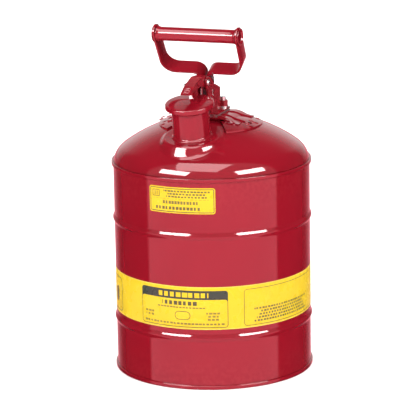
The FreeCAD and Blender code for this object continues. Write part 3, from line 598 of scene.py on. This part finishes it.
def rod_across(radius, length, centre, segments=64):
    """Cylinder along X, used to cut holes."""
    turn = Matrix.Translation(centre) @ Matrix.Rotation(math.pi / 2, 4, "Y")
    return lathe("Tool", [(0, -length / 2), (radius, -length / 2), (radius, length / 2), (0, length / 2)],
                 turn, segments)


# ---------------------------------------------------------------- can

def hoop_points(inset, steps=10):
    """Wall line with both hoops, from the foot to the top, inset from the outer face."""
    bend = (HOOP_HALF ** 2 + HOOP_PROUD ** 2) / (2 * HOOP_PROUD)
    line = []
    for level in HOOPS:
        line.append((BODY_RADIUS - inset, level - HOOP_HALF - 1.8))
        for step in range(steps + 1):
            across = -HOOP_HALF + 2 * HOOP_HALF * step / steps
            proud = math.sqrt(bend ** 2 - across ** 2) - (bend - HOOP_PROUD)
            ease = 0.5 * (1 + math.cos(math.pi * min(abs(across) / HOOP_HALF, 1.0)))
            line.append((BODY_RADIUS - inset + proud * (0.55 + 0.45 * ease), level + across * 1.04))
        line.append((BODY_RADIUS - inset, level + HOOP_HALF + 1.8))
    return line


def make_shell(paint):
    outside = [(BODY_RADIUS, 3.0)] + hoop_points(0) + [(BODY_RADIUS, 313.9)]
    inside = [(BODY_RADIUS - WALL, 313.9)] + hoop_points(WALL)[::-1] + [(BODY_RADIUS - WALL, 3.0)]
    shell = lathe("can_wall", outside + inside, segments=288)
    dress(shell, paint, "can", "can_enamel", "body_shell")


def crown_level():
    across = BODY_RADIUS - KNUCKLE_RADIUS
    return KNUCKLE_LEVEL - math.sqrt((CROWN_RADIUS - KNUCKLE_RADIUS) ** 2 - across ** 2)


def dome_height(radius, lift=0.0):
    """Outer height of the domed top at a radius from the can's axis."""
    centre = BODY_RADIUS - KNUCKLE_RADIUS
    join = centre * CROWN_RADIUS / (CROWN_RADIUS - KNUCKLE_RADIUS)
    if radius <= join:
        return crown_level() + math.sqrt((CROWN_RADIUS + lift) ** 2 - radius ** 2)
    return KNUCKLE_LEVEL + math.sqrt(max((KNUCKLE_RADIUS + lift) ** 2 - (radius - centre) ** 2, 0))


def smooth_max(first, second, blend):
    share = max(blend - abs(first - second), 0) / blend
    return max(first, second) + share * share * blend / 4


def seat_height(radius):
    """Height of the pressed spout seat along the spout's axis: flat, a round shoulder, then a steep flank."""
    return -smooth_max(SEAT_DEPTH, SEAT_DEPTH + (radius - SEAT_RADIUS) * SEAT_SLOPE, 3.5)


def make_dome(paint):
    """Domed head as rings and spokes; points under the spout's seat are pressed up along its axis."""
    into_seat = SPOUT_FRAME.inverted()
    hole = SPOUT_RADIUS - 0.8
    spokes, rings = 300, 170
    vertices, inside = [(0, 0, dome_height(0))], [False]
    for ring in range(1, rings + 1):
        radius = (BODY_RADIUS - 0.6) * (1 - (1 - ring / rings) ** 1.15)
        for spoke in range(spokes):
            angle = TURN * spoke / spokes
            vertices.append((radius * math.cos(angle), radius * math.sin(angle), dome_height(radius)))
    pressed = []
    within = []
    for vertex in vertices:
        local = into_seat @ Vector(vertex)
        reach = math.hypot(local.x, local.y)
        within.append(reach < hole)
        if reach < SEAT_REACH:
            local.z = smooth_max(local.z, seat_height(reach), 4.0)
        pressed.append(local)
    faces = []
    for spoke in range(spokes):
        following = (spoke + 1) % spokes
        faces.append((0, 1 + spoke, 1 + following))
        for ring in range(rings - 1):
            low, high = 1 + ring * spokes, 1 + (ring + 1) * spokes
            faces.append((low + spoke, high + spoke, high + following, low + following))
    kept = [face for face in faces if not all(within[index] for index in face)]
    for index in {index for face in kept for index in face if within[index]}:
        local = pressed[index]
        scale = hole / math.hypot(local.x, local.y)
        pressed[index] = Vector((local.x * scale, local.y * scale, local.z))
    used = sorted({index for face in kept for index in face})
    renumber = {index: place for place, index in enumerate(used)}
    points = [SPOUT_FRAME @ pressed[index] for index in used]
    dome = new_object("domed_top", points, [tuple(renumber[i] for i in face) for face in kept], sharp=60)
    thick = dome.modifiers.new("Sheet", "SOLIDIFY")
    thick.thickness = WALL * MM
    thick.offset = -1
    apply_modifiers(dome)
    dress(dome, paint, "can", "can_enamel", "top_dome")
    seam = lathe("top_seam", rounded([
        (BODY_RADIUS - 1.5, SEAM_LOW + 1.0, 0), (BODY_RADIUS + 0.05, SEAM_LOW, 0),
        (SEAM_RADIUS, SEAM_LOW, 2.0), (SEAM_RADIUS, SEAM_HIGH, 2.2),
        (BODY_RADIUS + 0.9, SEAM_HIGH, 0.5), (BODY_RADIUS - 1.6, SEAM_HIGH - 0.6, 0),
    ]), segments=288)
    dress(seam, paint, "can", "can_enamel")


def make_foot(paint):
    inner = BODY_RADIUS - 2 * WALL
    profile = rounded([
        (0.0, 10.8, 0), (inner, 10.8, 2.0), (inner, 0.0, 1.2), (SEAM_RADIUS - 0.2, 0.0, 1.4),
        (SEAM_RADIUS, 6.0, 1.4), (BODY_RADIUS, 6.2, 0), (BODY_RADIUS - 0.2, 12.0, 0), (0.0, 12.0, 0),
    ])
    foot = lathe("foot_pan", profile, segments=288)
    dress(foot, paint, "can", "can_enamel", "bottom_head")


def make_spout(paint):
    inner = SPOUT_RADIUS - SPOUT_WALL
    profile = rounded([
        (inner, -8.0, 0.4), (SPOUT_RADIUS, -8.0, 0.4), (SPOUT_RADIUS, -4.0, 0),
        (SPOUT_RADIUS + 3.0, -2.9, 0.4),
        (SPOUT_RADIUS + 2.4, -1.2, 0.9), (SPOUT_RADIUS, 0.6, 2.2), (SPOUT_RADIUS, 39.0, 5.0),
        (33.0, 43.6, 0.6), (33.0, 45.4, 0.9), (30.6, 45.4, 1.2), (inner, 40.8, 4.0),
    ], 6)
    spout = lathe("spout_tube", profile, SPOUT_FRAME, 128)
    dress(spout, paint, "can", "can_enamel", "pour_spout")


def make_lid(paint):
    """Lid plate: shallow crown, round rim and a hollow under it for the gasket."""
    shares = (0.0, 0.15, 0.3, 0.45, 0.6, 0.75, 0.88)
    corners = [(LID_RADIUS * share, 51.0 - 1.5 * share ** 2, 0) for share in shares]
    corners += [(LID_RADIUS - 0.3, 49.4, 2.2), (LID_RADIUS, 42.8, 0.7), (LID_RADIUS - 1.4, 42.8, 0.4),
                (LID_RADIUS - 1.5, 48.0, 0.3), (0.0, 48.0, 0)]
    lid = lathe("lid_plate", rounded(corners, 6), SPOUT_FRAME, 160)
    dress(lid, paint, "lid", "can_enamel", "lid_cap")


# ---------------------------------------------------------------- handle

def bent_path(corners, bends, step):
    """Centre line with round bends, as points about a step apart."""
    line = []
    for index, corner in enumerate(corners):
        if index in (0, len(corners) - 1):
            line.append(corner)
            continue
        before = (corner - corners[index - 1]).normalized()
        after = (corners[index + 1] - corner).normalized()
        half = before.angle(after) / 2
        bend = bends[index - 1]
        inward = (after - before).normalized()
        centre = corner + inward * (bend / math.cos(half))
        start = corner - before * bend * math.tan(half) - centre
        end = corner + after * bend * math.tan(half) - centre
        count = max(int(2 * half * bend / step), 6)
        for place in range(count + 1):
            line.append(centre + round_arc(start, end, 2 * half, place / count))
    filled = [line[0]]
    for start, end in zip(line, line[1:]):
        pieces = max(int((end - start).length / 6.0), 1)
        filled += [start.lerp(end, piece / pieces) for piece in range(1, pieces + 1)]
    return filled


def make_strap(side, paint):
    """Bent strip with round ends: drawn upright, leaned with the handle, then rounded along its edges."""
    slope = math.tan(math.radians(ARM_SPLAY))
    corners = [
        Vector((STRAP_TOP_ACROSS + STRAP_WIDTH * slope, 0, GRIP_REACH + STRAP_WIDTH)),
        Vector((STRAP_TOP_ACROSS - (GRIP_REACH - RUN_LEVEL) * slope, 0, RUN_LEVEL)),
        Vector((STEM_ACROSS, 0, RUN_LEVEL)),
        Vector((STEM_ACROSS, 0, -STRAP_WIDTH)),
    ]
    path = bent_path(corners, (ARM_BEND, KNEE_BEND), 1.6)
    vertices, faces = [], []
    half_width, half_thick = STRAP_WIDTH / 2, STRAP_THICK / 2
    for index, point in enumerate(path):
        along = (path[min(index + 1, len(path) - 1)] - path[max(index - 1, 0)]).normalized()
        out = along.cross(Vector((0, 1, 0)))
        for across, thick in ((-1, -1), (1, -1), (1, 1), (-1, 1)):
            vertex = point + out * (thick * half_thick) + Vector((0, across * half_width, 0))
            vertices.append((vertex.x * side, vertex.y, vertex.z))
        if index:
            base = (index - 1) * 4
            faces += [(base + k, base + (k + 1) % 4, base + 4 + (k + 1) % 4, base + 4 + k) for k in range(4)]
    faces += [(3, 2, 1, 0), tuple(len(vertices) - 4 + k for k in range(4))]
    strap = new_object("Strap_" + ("right" if side > 0 else "left"), vertices, faces)
    outline = []
    for step in range(33):
        angle = math.pi * step / 32
        outline.append((half_width * math.cos(angle), GRIP_REACH + EAR_RISE + half_width * math.sin(angle)))
    for step in range(33):
        angle = math.pi + math.pi * step / 32
        outline.append((half_width * math.cos(angle), half_width * math.sin(angle)))
    grown = [(y * 1.0002, z) for y, z in outline]
    count = len(grown)
    mask_vertices = [(0, y, z) for y, z in grown] + [(90 * side, y, z) for y, z in grown]
    mask_faces = [(k, (k + 1) % count, count + (k + 1) % count, count + k) for k in range(count)]
    mask_faces += [tuple(range(count)), tuple(range(count, 2 * count))]
    carve(strap, new_object("Mask", mask_vertices, mask_faces), "INTERSECT")
    carve(strap, rod_across(GRIP_RADIUS + 0.02, 200, (0, 0, GRIP_REACH)))
    carve(strap, rod_across(PIVOT_RADIUS, 200, (0, 0, 0), 48))
    soften(strap, 0.7, 3)
    strap.data.transform(Matrix.Scale(1 / MM, 4))
    strap.data.transform(HANDLE_FRAME)
    strap.data.transform(Matrix.Scale(MM, 4))
    node = "strap_right" if side > 0 else "strap_left"
    dress(strap, paint, "handle", "can_enamel", node)


def make_grip(paint):
    """Rolled tube, belled out to a collar inside each ear and curled over outside it."""
    inner = GRIP_RADIUS - 1.5
    half = [(GRIP_RADIUS, 54.0, 0), (GRIP_RADIUS + 0.35, 57.5, 3.0), (12.0, 60.4, 1.2), (12.0, 61.0, 0.3),
            (GRIP_RADIUS, 61.2, 0.2), (GRIP_RADIUS, 65.6, 0.2), (12.5, 65.7, 0.3), (12.6, 66.9, 0.6),
            (11.0, 67.0, 1.0), (inner, 64.5, 1.6)]
    other = [(r, -z, bend) for r, z, bend in reversed(half)]
    place = HANDLE_FRAME @ Matrix.Translation((0, 0, GRIP_REACH)) @ Matrix.Rotation(math.pi / 2, 4, "Y")
    grip = lathe("grip", rounded(half + other), place, 96)
    dress(grip, paint, "handle", "can_enamel", "grip_tube")


# ---------------------------------------------------------------- labels

def corner_mask():
    """Block with round corners, pushed through the wall where the upper label lies."""
    half = BODY_RADIUS * math.sin(PATCH_HALF_ANGLE) - 0.05
    low, high = PATCH[0] - 0.01, PATCH[1] + 0.01
    corner = 3.6
    outline = rounded([(-half, low, corner), (half, low, corner),
                       (half, high, corner), (-half, high, corner)], 8)
    count = len(outline)
    vertices = [(x, depth, z) for depth in (-BODY_RADIUS - 6, -BODY_RADIUS + 30) for x, z in outline]
    faces = [(k, (k + 1) % count, count + (k + 1) % count, count + k) for k in range(count)]
    faces += [tuple(range(count)), tuple(range(count, 2 * count))]
    return new_object("Mask", vertices, faces, Matrix.Rotation(PATCH_TURN, 4, "Z"))


def make_labels():
    """Thin film wrapped on the wall, with soft edges."""
    out = BODY_RADIUS + LABEL_OUT
    for name, levels, finish in (("label_band", BAND, wrap_print()), ("label_upper", PATCH, patch_print())):
        low, high = levels
        span, segments = None, 288
        if name == "label_upper":
            middle = PATCH_TURN - math.pi / 2
            span, segments = (middle - PATCH_HALF_ANGLE, middle + PATCH_HALF_ANGLE), 48
        profile = rounded([(BODY_RADIUS + 0.02, low, 0), (out, low, 0.2), (out, high, 0.2),
                           (BODY_RADIUS + 0.02, high, 0)], 3)
        film = lathe(name + "_film", profile, UPRIGHT, segments, span=span)
        if span:
            carve(film, corner_mask(), "INTERSECT")
        dress(film, finish, "can", "label_film", name)


# ---------------------------------------------------------------- everything else

def round_cad_edges():
    """Small rounded edges on the design's own sheet-metal pieces."""
    widths = {"lid_lever": 0.5, "handle_yoke": 0.5, "saddle_plate": 0.9, "lid_clevis": 0.4,
              "yoke_nuts": 0.5, "yoke_washers": 0.3, "pivot_washers": 0.25, "stop_pin": 0.4,
              "shim_plate": 0.4, "yoke_studs": 0.6}
    for name, width in widths.items():
        obj = frame["nodes"][name]
        bevel = obj.modifiers.new("Rounded", "BEVEL")
        bevel.width = width * MM
        bevel.segments = 2
        bevel.limit_method = "ANGLE"
        bevel.angle_limit = math.radians(40)
        obj.data.shade_smooth()
        obj.data.set_sharp_from_angle(angle=math.radians(50))


def saddle_height(x, y, lift=0.0):
    """Top of the saddle plate: it follows the dome, with a low pad pressed up across its middle."""
    plate = crown_level() + math.sqrt((CROWN_RADIUS + SADDLE_PROUD) ** 2 - x * x - y * y)
    across = min(max((abs(x) - BRIDGE_FLAT) / BRIDGE_SLOPE, 0.0), 1.0)
    pad = BRIDGE_TOP - BRIDGE_DROP * (1 - math.cos(math.pi * across)) / 2
    if not BRIDGE_SPAN[0] < y < BRIDGE_SPAN[1]:
        pad = plate
    return max(plate, pad) + lift


def ridge(name, points, width, height):
    """Pressed rib: a low rounded bar that follows the saddle through plan points."""
    line = []
    for start, end in zip(points, points[1:]):
        pieces = max(int(math.dist(start, end) / 1.5), 1)
        line += [Vector(start).lerp(Vector(end), piece / pieces) for piece in range(pieces)]
    line.append(Vector(points[-1]))
    smooth = line
    for _ in range(6):
        inner = [(a + b * 2 + c) / 4 for a, b, c in zip(smooth, smooth[1:], smooth[2:])]
        smooth = [smooth[0]] + inner + [smooth[-1]]
    section = 10
    vertices, faces = [], []
    for index, point in enumerate(smooth):
        along = (smooth[min(index + 1, len(smooth) - 1)] - smooth[max(index - 1, 0)]).normalized()
        side = Vector((-along.y, along.x))
        share = index / (len(smooth) - 1)
        swell = math.sqrt(max(1 - abs(2 * share - 1) ** 6, 0.0))
        for step in range(section + 1):
            across = -1 + 2 * step / section
            spot = point + side * (across * width / 2 * max(swell, 0.15))
            rise = height * swell * (1 + math.cos(math.pi * across)) / 2
            vertices.append((spot.x, spot.y, saddle_height(spot.x, spot.y, rise - 0.12)))
        if index:
            base = (index - 1) * (section + 1)
            faces += [(base + k, base + k + 1, base + section + 2 + k, base + section + 1 + k)
                      for k in range(section)]
    return new_object(name, vertices, faces, sharp=80)


def make_saddle_detail(paint):
    """Pressed ribs that run out from the middle to each wing, and spot-weld dimples near the wing's end."""
    for side in (1, -1):
        hand = "right" if side > 0 else "left"
        ribs = (((20, -27), (34, -30), (52, -36)),
                ((20, -10), (38, -12), (60, -14)),
                ((22, 14), (40, 17), (58, 24)))
        for number, plan in enumerate(ribs):
            points = [(x * side, y) for x, y in plan]
            dress(ridge("saddle_rib_%s_%d" % (hand, number), points, 7.5, 2.0), paint, "can", "can_enamel")
        for number, (x, y) in enumerate(((64.4, -4.4), (69.5, 12.2), (70.4, -13.5), (67.5, -29.5))):
            middle = Vector((x * side, y, saddle_height(x, y)))
            ring = rounded([(0, 0.25, 0), (1.7, 0.2, 0.4), (2.0, 0.7, 0.5), (2.9, 0.75, 0.6), (3.6, 0.1, 0.5),
                            (3.6, -0.3, 0), (0, -0.3, 0)], 3)
            normal = Vector((middle.x, middle.y, middle.z - crown_level()))
            tilt = normal.to_track_quat("Z", "Y").to_matrix().to_4x4()
            weld = lathe("spot_weld_%s_%d" % (hand, number), ring, Matrix.Translation(middle) @ tilt, 32)
            dress(weld, paint, "can", "can_enamel")


def make_lever_detail(paint):
    """Pressed grip ridges across the front of the lid's lever, either side of its crease."""
    slope = Vector((0, 16.0, 8.9)).normalized()
    rise = Vector((0, -slope.z, slope.y))
    for number, along in enumerate((4.5, 9.0, 13.5)):
        middle = Vector((0, -106.0, 431.3)) + slope * along
        count, section = 18, 8
        vertices, faces = [], []
        for index in range(count + 1):
            share = -1 + 2 * index / count
            swell = math.sqrt(max(1 - share ** 4, 0.0))
            for step in range(section + 1):
                turn = math.pi * step / section
                offset = slope * (1.7 * math.cos(turn)) + rise * (0.9 * math.sin(turn) * swell - 0.1)
                vertices.append(middle + Vector((5.2 * share, 0, 0)) + offset)
            if index:
                base = (index - 1) * (section + 1)
                faces += [(base + k, base + k + 1, base + section + 2 + k, base + section + 1 + k)
                          for k in range(section)]
        bar = new_object("lever_ridge_%d" % number, vertices, faces, sharp=80)
        dress(bar, paint, "lid", "can_enamel")


def finish_cad_nodes(finishes):
    """Materials for the design's own pieces that stay visible."""
    slots = {entry["node"]: entry["material_slot"] for entry in frame["record"]["subparts"]}
    for name, obj in frame["nodes"].items():
        material = finishes[slots[name]]
        obj.data.materials.clear()
        obj.data.materials.append(material)


bpy.context.scene.view_settings.view_transform = "Standard"
make_camera()
make_studio()
red = enamel()
finishes = {"can_enamel": red, "zinc_steel": plated_steel(), "spring_steel": spring_wire(),
            "screen_steel": screen_steel(), "seal_rubber": seal_rubber(), "label_film": red}
finish_cad_nodes(finishes)
make_shell(red)
make_dome(red)
make_foot(red)
make_spout(red)
make_lid(red)
for side in (1, -1):
    make_strap(side, red)
make_grip(red)
make_labels()
make_saddle_detail(red)
make_lever_detail(red)
round_cad_edges()
